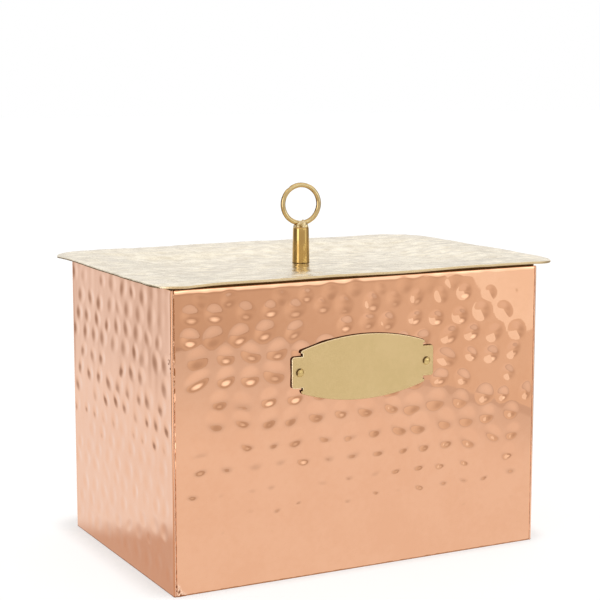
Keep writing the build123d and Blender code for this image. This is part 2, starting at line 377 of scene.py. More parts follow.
patchy_metal, given, result = new_group(
    "patchy_metal",
    [("Vector", "Vector", None), ("Clean", "Color", (1, 1, 1, 1)), ("Deep", "Color", (1, 1, 1, 1)),
     ("Patch size", "Float", 40.0), ("Amount", "Float", 0.5)],
    [("Color", "Color", None)],
)
broad = speckle(given["Vector"], given["Patch size"], 3.0, 0.55)
fine = speckle(given["Vector"], times(given["Patch size"], 7.3), 2.0, 0.6)
mask = calc("MULTIPLY_ADD", fine, 0.35, times(broad, 0.65))
mask = times(ease(mask, 0.36, 0.64), given["Amount"])
mottled = blend_colour(mask, given["Clean"], given["Deep"])
tree.links.new(mottled, result["Color"])

polishing_lines, given, result = new_group(
    "polishing_lines",
    [("Vector", "Vector", None), ("Along", "Vector", (20.0, 900.0, 900.0)),
     ("Smooth", "Float", 0.1), ("Rough", "Float", 0.2)],
    [("Roughness", "Float", None), ("Height", "Float", None)],
)
drawn = add_node("ShaderNodeVectorMath", {0: given["Vector"], 1: given["Along"]}, operation="MULTIPLY")
lines = speckle(drawn.outputs[0], 1.0, 4.0, 0.65)
haze = speckle(given["Vector"], 60.0, 2.0)
rough = calc("MULTIPLY_ADD", haze, 0.6, times(lines, 0.4))
rough = ease(rough, 0.3, 0.7)
rough = blend_value(rough, given["Smooth"], given["Rough"])
tree.links.new(rough, result["Roughness"])
tree.links.new(lines, result["Height"])

crumbly_residue_and_shade, given, result = new_group(
    "crumbly_residue_and_shade",
    [("Vector", "Vector", None), ("Place", "Float", 0.0), ("Grain", "Float", 500.0)],
    [("Mask", "Float", None)],
)
crumbs = speckle(given["Vector"], given["Grain"], 3.0, 0.6)
torn = calc("ADD", given["Place"], calc("MULTIPLY_ADD", crumbs, 0.9, -0.45))
tree.links.new(ease(torn, 0.35, 0.65), result["Mask"])
print("shared effects", [group.name for group in bpy.data.node_groups])


# %% Metal recipe
def use_group(group, **inputs):
    """Places a node group. Its sockets are named in lower case, with _ for a space."""
    inputs = {key.replace("_", " ").capitalize(): value for key, value in inputs.items()}
    return add_node("ShaderNodeGroup", inputs, node_tree=group).outputs


def attribute(name):
    """A number that the mesh carries at each point."""
    return add_node("ShaderNodeAttribute", attribute_name=name).outputs["Fac"]


def metal(name, clean, deep, patch_size, amount, polish, along, line_depth,
          coat=0.0, residue_and_shade=None, cut_and_painted_light=None, metallic=1.0):
    """A metal with patches of deeper colour and drawn lines.

    polish is the least and the most roughness, along the scale of the lines on each axis, and line_depth is
    in millimetres. residue is the colour where the "residue" attribute is set: dark residue on some pieces,
    painted shade on others. cut is the (colour, roughness) where "cut" is: a second finish, a painted
    highlight on the label and painted shade on the lip."""
    global tree
    made = bpy.data.materials.new(name)
    made.use_nodes = True
    tree = made.node_tree
    shader = tree.nodes["Principled BSDF"].inputs
    at = add_node("ShaderNodeTexCoord").outputs["Object"]
    patches = use_group(
        patchy_metal, vector=at, clean=(*clean, 1), deep=(*deep, 1), patch_size=patch_size, amount=amount)
    lines = use_group(polishing_lines, vector=at, along=along, smooth=polish[0], rough=polish[1])
    colour, roughness = patches["Color"], lines["Roughness"]
    shader["Metallic"].default_value = metallic
    if cut_and_painted_light:
        bare_and_painted_light = attribute("cut_and_painted_light")
        colour = blend_colour(bare_and_painted_light, colour, cut_and_painted_light[0])
        roughness = blend_value(bare_and_painted_light, roughness, cut_and_painted_light[1])
    if residue_and_shade:
        dirt_and_shade = use_group(crumbly_residue_and_shade, vector=at, place=attribute("residue_and_shade"))["Mask"]
        colour = blend_colour(dirt_and_shade, colour, residue_and_shade)
        roughness = calc("MULTIPLY_ADD", dirt_and_shade, 0.35, roughness)
        if coat:
            tree.links.new(calc("MULTIPLY_ADD", dirt_and_shade, -coat, coat), shader["Coat Weight"])
        tree.links.new(calc("SUBTRACT", 1.0, times(dirt_and_shade, 0.25)), shader["Metallic"])
    tree.links.new(colour, shader["Base Color"])
    tree.links.new(roughness, shader["Roughness"])
    sockets = {"Height": lines["Height"], "Distance": line_depth * MM, "Strength": 1.0}
    tree.links.new(add_node("ShaderNodeBump", sockets).outputs[0], shader["Normal"])
    shader["Coat Weight"].default_value = coat
    shader["Coat Roughness"].default_value = 0.05
    return made


# %% [markdown]
# The walls are polished copper under a thin clear lacquer. The lacquer's own weak
# reflection is white, which is why the side, seen at a slant, looks pinker and paler than
# the front. The lid is pale brass, the label satin brass, and the finial a deeper brass.

# %% Finishes
# Its residue colour is burnt flux in the seams, and also the painted shadow along the foot of the walls.
hammered_copper = metal(
    "hammered_copper", (0.84, 0.45, 0.27), (0.80, 0.41, 0.235), patch_size=45, amount=0.6,
    polish=(0.016, 0.034), along=(60, 60, 700), line_depth=0.0006,
    coat=0.55, residue_and_shade=(0.42, 0.17, 0.07), cut_and_painted_light=((0.94, 0.60, 0.42), 0.40))
plain_copper = metal(
    "plain_copper", (0.74, 0.38, 0.23), (0.55, 0.25, 0.15), patch_size=30, amount=0.8,
    polish=(0.22, 0.38), along=(30, 600, 600), line_depth=0.004)
soft_solder = metal(
    "soft_solder", (0.50, 0.47, 0.43), (0.30, 0.27, 0.24), patch_size=150, amount=0.8,
    polish=(0.30, 0.50), along=(300, 300, 300), line_depth=0.08, metallic=0.9)
# On the label the residue colour is painted shade on the sheared sides, and the cut colour a painted
# highlight on the upper left bevel.
label_brass = metal(
    "label_brass", (0.70, 0.51, 0.258), (0.64, 0.47, 0.225), patch_size=60, amount=0.6,
    polish=(0.40, 0.48), along=(25, 900, 1500), line_depth=0.010,
    residue_and_shade=(0.10, 0.035, 0.01), cut_and_painted_light=((1.0, 0.84, 0.56), 0.22))
# On the rivets the residue colour is painted shade, a crescent round the upper left of each head.
rivet_brass = metal(
    "rivet_brass", (0.70, 0.51, 0.22), (0.54, 0.37, 0.13), patch_size=300, amount=0.5,
    polish=(0.22, 0.32), along=(300, 300, 300), line_depth=0.004, residue_and_shade=(0.13, 0.07, 0.02))
# On the lid the residue colour is painted shade on the side edges below; the cut colour is the bare front
# and back edges.
lid_brass = metal(
    "lid_brass", (0.92, 0.84, 0.67), (0.62, 0.535, 0.40), patch_size=170, amount=0.76,
    polish=(0.22, 0.30), along=(150, 230, 100), line_depth=0.06,
    residue_and_shade=(0.20, 0.12, 0.04), cut_and_painted_light=((0.70, 0.54, 0.32), 0.45))
# The lip's dark brass is painted shade of the gap under the lid, and its near black cut colour is painted
# shade on the outside of the shoulder.
lip_brass = metal(
    "lip_brass", (0.34, 0.22, 0.10), (0.20, 0.12, 0.05), patch_size=60, amount=0.8,
    polish=(0.35, 0.50), along=(60, 60, 500), line_depth=0.006, cut_and_painted_light=((0.10, 0.045, 0.012), 0.5))
finial_brass = metal(
    "finial_brass", (0.66, 0.51, 0.27), (0.59, 0.44, 0.21), patch_size=150, amount=0.6,
    polish=(0.06, 0.11), along=(200, 200, 3500), line_depth=0.004,
    residue_and_shade=(0.16, 0.09, 0.03), cut_and_painted_light=((0.63, 0.415, 0.15), 0.09))
braze_brass = metal(
    "braze_brass", (0.92, 0.76, 0.46), (0.34, 0.21, 0.07), patch_size=480, amount=1.0,
    polish=(0.12, 0.24), along=(600, 600, 600), line_depth=0.04)
screw_steel = metal(
    "screw_steel", (0.60, 0.60, 0.62), (0.42, 0.42, 0.44), patch_size=300, amount=0.6,
    polish=(0.22, 0.35), along=(1500, 200, 600), line_depth=0.004)
print("materials", len(bpy.data.materials))

# %% [markdown]
# ## Making a piece
# A finished bmesh becomes an object at the origin, with its place in its mesh. It rides on its CAD body and
# hides the CAD node that it stands for.


def make_piece(name, bm, body, finish, sharp_angle=35.0):
    """Turns a bmesh in millimetres into the piece that stands for the CAD node of the same name."""
    bmesh.ops.scale(bm, vec=(MM, MM, MM), verts=bm.verts)
    piece = mesh_object(name + "_visual", bm, finish)
    for polygon in piece.data.polygons:
        polygon.use_smooth = True
    piece.data.set_sharp_from_angle(angle=math.radians(sharp_angle))
    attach(piece, body)
    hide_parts(name)
    triangles = sum(len(polygon.vertices) - 2 for polygon in piece.data.polygons)
    print(f"{name}: {len(piece.data.vertices)} vertices, {triangles} triangles")


# %% [markdown]
# ## The hammered walls
# A smith hammers the flat sheet in rows, about 12 mm from blow to blow, and the last row
# at the foot is struck more lightly. Each blow leaves a shallow bowl about a quarter to a
# third of a millimetre deep. The places come from rows and a pitch, with the small errors of a
# hand. On the sides the rows are closer, and each starts a bit before the last, so that
# the dents also line up on a slant. The dents are real geometry: the reflections depend on
# slopes of a few degrees, and a bump map would leave the exported mesh flat.

# %% Hammer blows
WALL_HEIGHT, SHEET = 127.0, 1.0
BLOW_PITCH, FRONT_PITCH, SIDE_PITCH = 11.9, 9.2, 8.7          # along a row, and from row to row
SIDE_SHIFT = -0.3                                             # of the pitch, from row to row on a side
BLOW_DEPTH, HALF_WIDE, ABOVE, BELOW = 0.25, 4.7, 4.8, 4.3     # a blow reaches further up than down
FRONT_FORCES = (0.95, 1.12, 1.2, 1.3, 1.2, 1.25, 1.28, 1.32, 1.38, 1.38, 1.25, 0.7)
SIDE_FORCES = (1.0, 1.0, 1.05, 1.05, 1.1, 1.15, 1.15, 1.05, 1.0, 0.9, 0.8, 0.75, 0.65, 0.6)
# A row is (millimetres below the rim, force). The front has one more faint row close under its rim.
FRONT_ROWS = [(5.2, 0.5)] + [(10.5 + FRONT_PITCH * i, force) for i, force in enumerate(FRONT_FORCES)]
SIDE_ROWS = [(5.5 + SIDE_PITCH * i, force) for i, force in enumerate(SIDE_FORCES)]


def smoothstep(value, start, end):
    """0 before start and 1 past end, with a smooth rise between them, also where end is the lower."""
    t = np.clip((np.asarray(value, float) - start) / (end - start), 0.0, 1.0)
    return t * t * (3 - 2 * t)


def hammer_blows(seed, half_length, rows, shift=None):
    """Places, sizes and depths of the blows on one wall, in millimetres along it and above its foot."""
    rng = random.Random(seed)
    blows = []
    for number, (below_rim, force) in enumerate(rows):
        height = WALL_HEIGHT - below_rim + rng.uniform(-0.5, 0.5)
        drift = rng.uniform(-0.9, 0.9)                 # from one end of the row to the other
        start = rng.uniform(0.0, 0.8)
        if shift is not None:
            start = (shift * number + 0.15 * start) % 1.0
        along = -half_length + 3.5 + start * BLOW_PITCH
        while along < half_length - 3.5:
            struck = rng.random() < 0.96
            size = rng.gauss(1.0, 0.10)
            spared = smoothstep(math.hypot(half_length - along, WALL_HEIGHT - height), 13.0, 40.0)
            blow = (
                along + rng.gauss(0.0, 0.8),
                height + drift * along / half_length + rng.gauss(0.0, 0.55),
                HALF_WIDE * size * rng.gauss(1.0, 0.06),
                ABOVE * size,
                BELOW * size,
                BLOW_DEPTH * force * rng.gauss(1.0, 0.15) * (0.2 + 0.8 * spared),
                rng.gauss(0.0, 0.18),
            )
            if struck:
                blows.append(blow)
            along += BLOW_PITCH
    return blows


def dent_depth(along, height, blows):
    """How far the sheet is driven in at each point, in millimetres."""
    total = np.zeros_like(along)
    for centre, level, half_wide, above, below, depth, lean in blows:
        near = (abs(along - centre) < half_wide + 1.5) & (height - level < above) & (level - height < below)
        if near.any():
            up = height[near] - level
            side = along[near] - centre - lean * up
            q = 1 - (side / half_wide) ** 2 - (up / np.where(up > 0, above, below)) ** 2
            total[near] += depth * np.clip(q, 0, 1) ** 2
    return total


def smooth_noise(points, size, offset=0.0):
    """Noise from 0 to 1 at each (along, height), with patches of that size."""
    return np.array([0.5 + 0.5 * noise.noise((a / size + offset, h / size, offset)) for a, h in points])


print("rows of blows:", len(FRONT_ROWS), "on the front and back,", len(SIDE_ROWS), "on the sides")

# %% [markdown]
# A wall is one sheet with its rim folded down inside. It starts here as a flat grid, long
# enough for both faces and the fold, and every row of it is laid on the folded section:
# up the outside, over the rounded rim, down the leaf, and down the inside. The leaf stops
# short of the corners, and past its ends the same rows lie on the plain sheet. The fold
# was pressed tight, so the last two millimetres of the outside lean in a little.

# %% Folded section
LEAF, RIM_OUTER, RIM_INNER, FOOT_EDGE = 7.0, 0.4, 0.3, 0.35     # height of the leaf, and radii of the edges


def arc(x, y, radius, start, end, steps):
    """Points of an arc round (x, y), from one angle to another: 0 is along x, and 90 along y."""
    angles = [math.radians(start + (end - start) * i / steps) for i in range(steps + 1)]
    return [(x + radius * math.cos(a), y + radius * math.sin(a)) for a in angles]


def section(leaf):
    """(depth, height, share of the dents) down one section; leaf says whether the rim is folded here."""
    inner = 2 * SHEET if leaf else SHEET
    top, foot = WALL_HEIGHT, WALL_HEIGHT - LEAF
    rows = [(d, h, 0.0) for d, h in arc(FOOT_EDGE, FOOT_EDGE, FOOT_EDGE, 270, 180, 3)]
    rows += [(0.0, h, 1.0) for h in np.linspace(1.0, top - RIM_OUTER, 149)]
    for i, (d, h) in enumerate(arc(RIM_OUTER, top - RIM_OUTER, RIM_OUTER, 180, 90, 6)[1:]):
        rows.append((d, h, 0.85 - 0.14 * i))
    rows += [(d, h, 0.0) for d, h in arc(inner - RIM_INNER, top - RIM_INNER, RIM_INNER, 90, 0, 3)]
    rows += [(inner, h, 0.0) for h in (top - 2, top - 4, foot + 1.0, foot + 0.3)]
    if leaf:
        rows += [(d, h, 0.0) for d, h in arc(inner - 0.2, foot + 0.2, 0.2, 0, -90, 2)[1:]]
        rows += [(SHEET + 0.12, foot, 0.0), (SHEET + 0.07, foot + 0.6, 0.0), (SHEET, foot - 0.02, 0.0)]
    else:
        rows += [(SHEET, foot + 0.25 - 0.05 * i, 0.0) for i in range(5)]
    rows += [(SHEET, h, 1.0) for h in np.linspace(foot - 0.6, 0.8, 74)]
    rows += [(SHEET, 0.0, 0.0), (FOOT_EDGE, 0.0, 0.0)]
    return np.array(rows)


folded, unfolded = section(True), section(False)
assert folded.shape == unfolded.shape
outer_rows = folded[:, 0] < SHEET
print("rows in the folded section", len(folded))

# %% [markdown]
# The front and back stand between the sides. Their ends meet the sides in a soldered
# seam, which in the photograph is a thin dark crevice, filled here and there. The sheet
# is pressed in along its last half millimetre for that, and the "residue" attribute marks
# where flux has stayed. A pitted lump of solder sits at the foot of one seam of each. The
# sides have rounded ends, faint upright flutes, and a scorched spot near one end.

# %% Ends of a wall
SEAM_WIDE, SEAM_DEEP = 0.34, 0.3
SEAM_CHANGE = (78.0, 92.0)            # between these heights one seam goes from open to partly filled
LUMP = 4.8                            # reach of the lump of solder
SCORCH_AT, SCORCH_HIGH = 97.0, 5.5    # height of the scorched spot on a side, and its half height


def bell(value, centre, width):
    """1 at centre, falling smoothly to almost nothing two widths away."""
    return np.exp(-((value - centre) / width) ** 2)


def soldered_ends(places, from_end, outside, ragged, seed):
    """How far in the seams press the sheet, with their residue and their cut."""
    along, height = places.T
    upper = smoothstep(height, *SEAM_CHANGE) * (along < 0)
    width = (SEAM_WIDE + 0.22 * upper) * (0.7 + 0.6 * ragged)
    open_seam = 1 - upper * (1 - smoothstep(ragged, 0.34, 0.52))
    crevice = smoothstep(from_end / width, 1.0, 0.3) * open_seam
    residue_and_shade = (0.52 + 0.35 * upper) * smoothstep(from_end / width, 1.15, 0.7) * open_seam * outside
    pits = smooth_noise(places, 0.9, seed + 9.0)
    torn = 2.4 * (smooth_noise(places, 1.8, seed + 8.0) - 0.5)
    lump = smoothstep(from_end + 0.62 * height + torn, LUMP, LUMP - 1.2) * outside * (along < 0)
    pressed = SEAM_DEEP * crevice * outside - lump * (0.30 - 0.6 * smoothstep(pits, 0.50, 0.72))
    residue_and_shade = np.maximum(residue_and_shade * (1 - lump), 0.95 * lump * smoothstep(pits, 0.52, 0.66))
    return pressed, residue_and_shade, 0.9 * lump


def rounded_ends(places, from_end, outside, seed):
    """The same for the free ends of a side."""
    along, height = places.T
    pressed = np.zeros_like(along)
    for radius, side, sign in ((0.7, outside, 1.0), (0.25, ~outside, -1.0)):
        rounding = np.clip(radius - from_end, 0.0, radius)
        pressed += np.where(side, sign * (radius - np.sqrt(radius**2 - rounding**2)), 0.0)
    pocks = smooth_noise(places, 1.5, seed + 2.0)
    scorched = bell(height, SCORCH_AT, SCORCH_HIGH) * smoothstep(from_end, 6.5, 2.5)
    residue_and_shade = 0.9 * scorched * smoothstep(pocks, 0.50, 0.62) * outside * (from_end > 0.4) * (along > 0)
    return pressed, residue_and_shade, smoothstep(from_end, 0.05, 0.0)


# %% Grid helpers
def numbered_grid(columns, rows):
    """A grid in a new bmesh, with the column and the row of each of its points."""
    bm = bmesh.new()
    bmesh.ops.create_grid(bm, x_segments=columns - 1, y_segments=rows - 1, size=0.5)
    spots = np.array([v.co for v in bm.verts])
    column = np.rint((spots[:, 0] + 0.5) * (columns - 1)).astype(int)
    row = np.rint((spots[:, 1] + 0.5) * (rows - 1)).astype(int)
    return bm, column, row


def mark_layers(bm):
    """The two attributes that steer the finishes, the painted shade and the painted highlight."""
    return bm.verts.layers.float.new("cut_and_painted_light"), bm.verts.layers.float.new("residue_and_shade")


def lay_out(bm, places, cut_and_painted_light, residue_and_shade):
    """Moves each point to its place, sets its attributes, and merges the points that meet."""
    cut_and_painted_light_layer, residue_and_shade_layer = mark_layers(bm)
    for v, place, bare_and_painted_light, dirty_and_shaded in zip(bm.verts, places, cut_and_painted_light, residue_and_shade):
        v.co = place
        v[cut_and_painted_light_layer] = bare_and_painted_light
        v[residue_and_shade_layer] = dirty_and_shaded
    bmesh.ops.remove_doubles(bm, verts=bm.verts, dist=0.001)
    bmesh.ops.dissolve_degenerate(bm, edges=bm.edges, dist=0.0005)


# %% Wall sheet
FINE_ENDS = [0.0, 0.06, 0.15, 0.25, 0.4, 0.6, 0.9, 1.3, 1.9, 2.6, 3.3]     # columns close to each end
RIM_BEND_FROM, RIM_BEND = 124.5, 30.0     # the outside leans in from this height, on this bend


def wall_sheet(seed, half_length, leaf_half, seamed, rows, keep_flat):
    """A hammered wall in its own frame: x along it, y inwards from its outer face, z up."""
    ends = [half_length - s for s in FINE_ENDS] + [leaf_half + 0.03, leaf_half - 0.03]
    ends = sorted(e for e in ends if e > leaf_half - 0.04)
    middle = np.linspace(-ends[0] + 0.7, ends[0] - 0.7, round(2 * ends[0] / 0.8))
    columns = np.array([-e for e in reversed(ends)] + list(middle) + ends)
    bm, column, row = numbered_grid(len(columns), len(folded))
    along = columns[column]
    depth, height, share = np.where(abs(along) < leaf_half, folded[row].T, unfolded[row].T)
    outside = outer_rows[row]
    from_end = half_length - abs(along)
    places = np.column_stack([along, height])

    blows = hammer_blows(seed, half_length, rows, None if seamed else SIDE_SHIFT)
    driven = dent_depth(along, np.minimum(height, WALL_HEIGHT - 1.0), blows)
    slack = 0.16 * smooth_noise(places, 34.0, seed) + 0.035 * smooth_noise(places, 11.0, seed + 3.0)
    slack *= smoothstep(from_end, 1.0, 12.0) * smoothstep(height, 2.0, 14.0)
    if not seamed:
        flutes = smooth_noise(np.column_stack([along, 0.13 * height]), 5.2, seed + 7.0)
        slack += 0.13 * flutes * smoothstep(from_end, 0.8, 3.0) * smoothstep(height, 1.0, 5.0)
    calm = np.ones_like(along)
    for spot_along, spot_height in keep_flat:
        calm *= smoothstep(np.hypot(along - spot_along, height - spot_height), 2.2, 5.0)
    depth = depth + (driven * smoothstep(from_end, 0.5, 3.5) + slack) * share * calm
    wavy = smooth_noise(np.column_stack([along, 0 * height]), 6.5, seed + 1.0)
    bend_from = RIM_BEND_FROM + 1.4 * (wavy - 0.5)
    lean_in = np.clip(np.minimum(height, WALL_HEIGHT) - bend_from, 0, None) ** 2 / RIM_BEND
    depth = depth + lean_in * outside * smoothstep(from_end, 0.0, 1.0)

    ragged = smooth_noise(np.column_stack([np.sign(along) * 40, height]), 2.6, seed + 5.0)
    if seamed:
        pressed, residue_and_shade, cut_and_painted_light = soldered_ends(places, from_end, outside, ragged, seed)
    else:
        pressed, residue_and_shade, cut_and_painted_light = rounded_ends(places, from_end, outside, seed)
    cut_and_painted_light = np.maximum(cut_and_painted_light, 0.6 * ~outside)
    # Painted shadow: a thin dark line along the foot of the outside, where the wall meets the surface, laid
    # with the dark residue colour.
    painted_foot_shadow = 0.95 * smoothstep(height + 0.3 * ragged, 1.0, 0.3) * outside
    lay_out(bm, np.column_stack([along, depth + pressed, height]), cut_and_painted_light, np.maximum(residue_and_shade, painted_foot_shadow))
    caps = bmesh.ops.holes_fill(bm, edges=[e for e in bm.edges if e.is_boundary], sides=0)["faces"]
    bmesh.ops.recalc_face_normals(bm, faces=bm.faces)
    bmesh.ops.inset_individual(bm, faces=caps, thickness=0.04, depth=0.0)
    return bm


def turned(bm, angle, place):
    """Turns a bmesh about Z and moves it to its place."""
    matrix = Matrix.Translation(place) @ Matrix.Rotation(math.radians(angle), 4, "Z")
    bmesh.ops.transform(bm, matrix=matrix, verts=bm.verts)
    return bm


# %% Walls
HALF_WIDTH, HALF_DEPTH = 89.0, 58.75
LABEL_X, LABEL_Z, RIVET_REACH = -0.5, 88.9, 31.0
rivet_spots = [(LABEL_X - RIVET_REACH, LABEL_Z), (LABEL_X + RIVET_REACH, LABEL_Z)]
long_wall = {"half_length": HALF_WIDTH - SHEET, "leaf_half": 84.0, "seamed": True, "rows": FRONT_ROWS}
side_wall = {"half_length": HALF_DEPTH, "leaf_half": 53.75, "seamed": False, "rows": SIDE_ROWS}

for name, kind, seed, keep_flat, angle, place in (
    ("front_panel", long_wall, 11, rivet_spots, 0, (0, -HALF_DEPTH, 0)),
    ("back_panel", long_wall, 23, (), 180, (0, HALF_DEPTH, 0)),
    ("left_panel", side_wall, 37, (), -90, (-HALF_WIDTH, 0, 0)),
    ("right_panel", side_wall, 41, (), 90, (HALF_WIDTH, 0, 0)),
):
    sheet = wall_sheet(seed, keep_flat=keep_flat, **kind)
    make_piece(name, turned(sheet, angle, place), "box", hammered_copper)

# %% [markdown]
# ## Label plate and rivets
# The label is a stamped brass plate with bowed long edges, and a round-cornered tab at each end with a
# small nick where it leaves the body. It is bare. One quarter of its outline is laid out as points,
# mirrored twice, filled, extruded and bevelled. Its sheared sides lean a little and are painted dark, as
# shade, and the bevel at the upper left is painted bright, as a highlight. The rivets are turned: a section
# is spun round their axis. A dark crescent of painted shade lies round the upper left of each head.

# %% Shape helpers
def full_turn(bm, geom, steps):
    """Spins points and edges once round Z and closes the turn."""
    bmesh.ops.spin(
        bm, geom=geom, cent=(0, 0, 0), axis=(0, 0, 1), dvec=(0, 0, 0), angle=2 * math.pi, steps=steps,
        use_merge=True, use_duplicate=False)
    bmesh.ops.remove_doubles(bm, verts=bm.verts, dist=0.0005)


def lathe(profile, steps, axis=(0, 0, 1), centre=(0, 0, 0)):
    """Spins a profile of (radius, height) points round an axis through centre."""
    bm = bmesh.new()
    points = [bm.verts.new((r, 0, z)) for r, z in profile]
    edges = [bm.edges.new(pair) for pair in zip(points, points[1:])]
    full_turn(bm, points + edges, steps)
    bmesh.ops.recalc_face_normals(bm, faces=bm.faces)
    turn = Vector((0, 0, 1)).rotation_difference(Vector(axis)).to_matrix().to_4x4()
    bmesh.ops.transform(bm, matrix=Matrix.Translation(centre) @ turn, verts=bm.verts)
    return bm


def extruded(corners):
    """A face through the corners with its extruded copy, and the points of the copy."""
    bm = bmesh.new()
    face = bm.faces.new([bm.verts.new(corner) for corner in corners])
    grown = bmesh.ops.extrude_face_region(bm, geom=[face])["geom"]
    return bm, [item for item in grown if isinstance(item, bmesh.types.BMVert)]


def bevel(bm, edges, offset, segments):
    """Rounds the edges."""
    bmesh.ops.bevel(
        bm, geom=edges, offset=offset, offset_type="OFFSET", segments=segments, profile=0.5,
        affect="EDGES", material=-1)


def bow(x, half_length, end, middle):
    """Height at x of an arc that is middle high at 0 and end high at half_length."""
    rise = middle - end
    radius = (half_length**2 + rise**2) / (2 * rise)
    return middle - radius + math.sqrt(radius**2 - x**2)


# %% Label plate
BODY_HALF, TAB_END, TAB_HIGH, TAB_CORNER, NICK = 30.3, 34.6, 6.7, 1.1, 1.2
BOW_END, BOW_MIDDLE, LABEL_THICK = 9.1, 14.1, 1.0
nick_x, nick_z = BODY_HALF - 0.7 * NICK, TAB_HIGH + NICK
quarter = [(TAB_END, 0.0)]
quarter += arc(TAB_END - TAB_CORNER, TAB_HIGH - TAB_CORNER, TAB_CORNER, 0, 90, 3)
quarter += [(nick_x, TAB_HIGH), (nick_x, nick_z)]
quarter += [(BODY_HALF - 0.1, nick_z + 0.1), (BODY_HALF, nick_z + 0.5)]
quarter += [(x, bow(x, BODY_HALF, BOW_END, BOW_MIDDLE)) for x in np.linspace(BODY_HALF - 0.35, 0.0, 20)]
half = quarter + [(-x, z) for x, z in reversed(quarter[:-1])]
outline = half + [(x, -z) for x, z in reversed(half[1:-1])]

bm, raised = extruded([(x, 0.0, z) for x, z in outline])
bmesh.ops.translate(bm, vec=(0, -LABEL_THICK, 0), verts=raised)
bmesh.ops.recalc_face_normals(bm, faces=bm.faces)
bm.normal_update()
bevel(bm, [e for e in bm.edges if all(v.co.y < -0.5 for v in e.verts)], 0.32, 3)
front_face = max(bm.faces, key=lambda f: -f.calc_center_median().y * f.calc_area())
bmesh.ops.inset_region(bm, faces=[front_face], thickness=0.06, depth=0.0)
# Painted highlight on the bevel at the upper left, and painted shade on the sheared sides.
cut_and_painted_light_layer, residue_and_shade_layer = mark_layers(bm)
for v in bm.verts:
    from_front = v.co.y + LABEL_THICK
    painted_highlight_upper_left = v.co.z > 0.25 * v.co.x
    v[cut_and_painted_light_layer] = 1.0 if 0.02 < from_front < 0.25 and painted_highlight_upper_left else 0.0
    v[residue_and_shade_layer] = 0.9 if from_front > 0.25 else 0.0
    if v.co.y > -0.01:
        v.co += Vector((-0.15, 0.0, 0.28))
bmesh.ops.translate(bm, vec=(LABEL_X, -HALF_DEPTH, LABEL_Z), verts=bm.verts)
make_piece("label_plate", bm, "box", label_brass, 40.0)

# %% Rivets
HEAD, HEAD_HIGH, SHANK, TAIL = 1.8, 1.0, 1.0, 1.7
TAIL_TOP = SHEET + 0.8
rivet = []
for t in np.linspace(0, math.pi / 2, 12):
    rivet.append((HEAD * math.sin(t), -HEAD_HIGH * math.cos(t) ** 0.8 - LABEL_THICK))
rivet += [(SHANK, -LABEL_THICK), (SHANK, SHEET), (TAIL, SHEET), (TAIL, TAIL_TOP - 0.3)]
rivet += [(TAIL - 0.12, TAIL_TOP - 0.08), (TAIL - 0.4, TAIL_TOP), (0.0, TAIL_TOP)]
# Painted shade: a dark crescent round the upper left of each head.
for side, (x, z) in zip(("left", "right"), rivet_spots):
    bm = lathe(rivet, 40, (0, 1, 0), (x, -HALF_DEPTH, z))
    residue_and_shade_layer = bm.verts.layers.float.new("residue_and_shade")
    for v in bm.verts:
        out = Vector((v.co.x - x, v.co.z - z)) / HEAD
        painted_shade_up_left = float(smoothstep(out.dot(Vector((-0.8, 0.6))), 0.0, 0.6))
        v[residue_and_shade_layer] = 0.9 * painted_shade_up_left * float(smoothstep(out.length, 0.66, 0.86))
    make_piece(f"label_rivet_{side}", bm, "box", rivet_brass)

# %% [markdown]
# ## The lid
# The lid is a brass sheet, planished all over with a small flat hammer, with rounded
# corners and a shallow dish in the middle. Its mesh is a strip of rings: each ring follows
# the outline, further in, and the innermost is the screw's hole, where the strip turns and
# goes back out underneath. A grid is wrapped round these rings, so that the points follow
# the rounded corners without a seam.

# %% Lid rings
LID_X, LID_Y, LID_CORNER, LID_SHEET, LID_UNDER, LID_EDGE = 97.25, 67.0, 14.0, 1.1, 129.0, 0.3
DISH_IN, DISH_RUN, DISH_DEEP, HOLE = 14.0, 28.0, 3.0, 2.2
LID_TOP, DISH_END = LID_UNDER + LID_SHEET, DISH_IN + DISH_RUN
LONG, SHORT, TURN = 120, 78, 18     # points along a long side, a short side and a corner
CORNERS = ((1, 1, LONG), (-1, 1, SHORT), (-1, -1, LONG), (1, -1, SHORT))     # and the side after each


def on_corner(corner, inset, angle):
    """The point at that angle on a rounded corner, at that distance inside the outline."""
    radius = max(LID_CORNER - inset, 6.0)
    return (
        corner[0] * (LID_X - inset - radius) + radius * math.cos(angle),
        corner[1] * (LID_Y - inset - radius) + radius * math.sin(angle),
    )


def ring_points(inset):
    """Points round the lid at that distance inside its outline."""
    points = []
    for turn, corner in enumerate(CORNERS):
        for i in range(TURN):
            points.append(on_corner(corner, inset, math.radians(90 * turn + 90 * i / TURN)))
        end = math.radians(90 * turn + 90)
        start = Vector(on_corner(corner, inset, end))
        stop = Vector(on_corner(CORNERS[(turn + 1) % 4], inset, end))
        points += [tuple(start.lerp(stop, i / corner[2])) for i in range(corner[2])]
    return np.array(points)


def lid_level(inset):
    """Height of the sheet's top at that distance inside the outline."""
    t = min(max((inset - DISH_IN) / DISH_RUN, 0.0), 1.0)
    eased = 0.5 * t + 0.5 * t * t * (3 - 2 * t)
    return LID_TOP - DISH_DEEP * eased


floor_ring = ring_points(DISH_END)
bearing = np.arctan2(floor_ring[:, 1], floor_ring[:, 0])
hole_ring = HOLE * np.column_stack([np.cos(bearing), np.sin(bearing)])
floor_level = lid_level(DISH_END)
top_edge = arc(LID_EDGE, LID_TOP - LID_EDGE, LID_EDGE, 180, 90, 3)
low_edge = arc(LID_EDGE, LID_UNDER + LID_EDGE, LID_EDGE, 270, 180, 3)
going_in, going_out = np.linspace(1.0, DISH_END, 36), np.linspace(DISH_END, 0.6, 20)[1:]

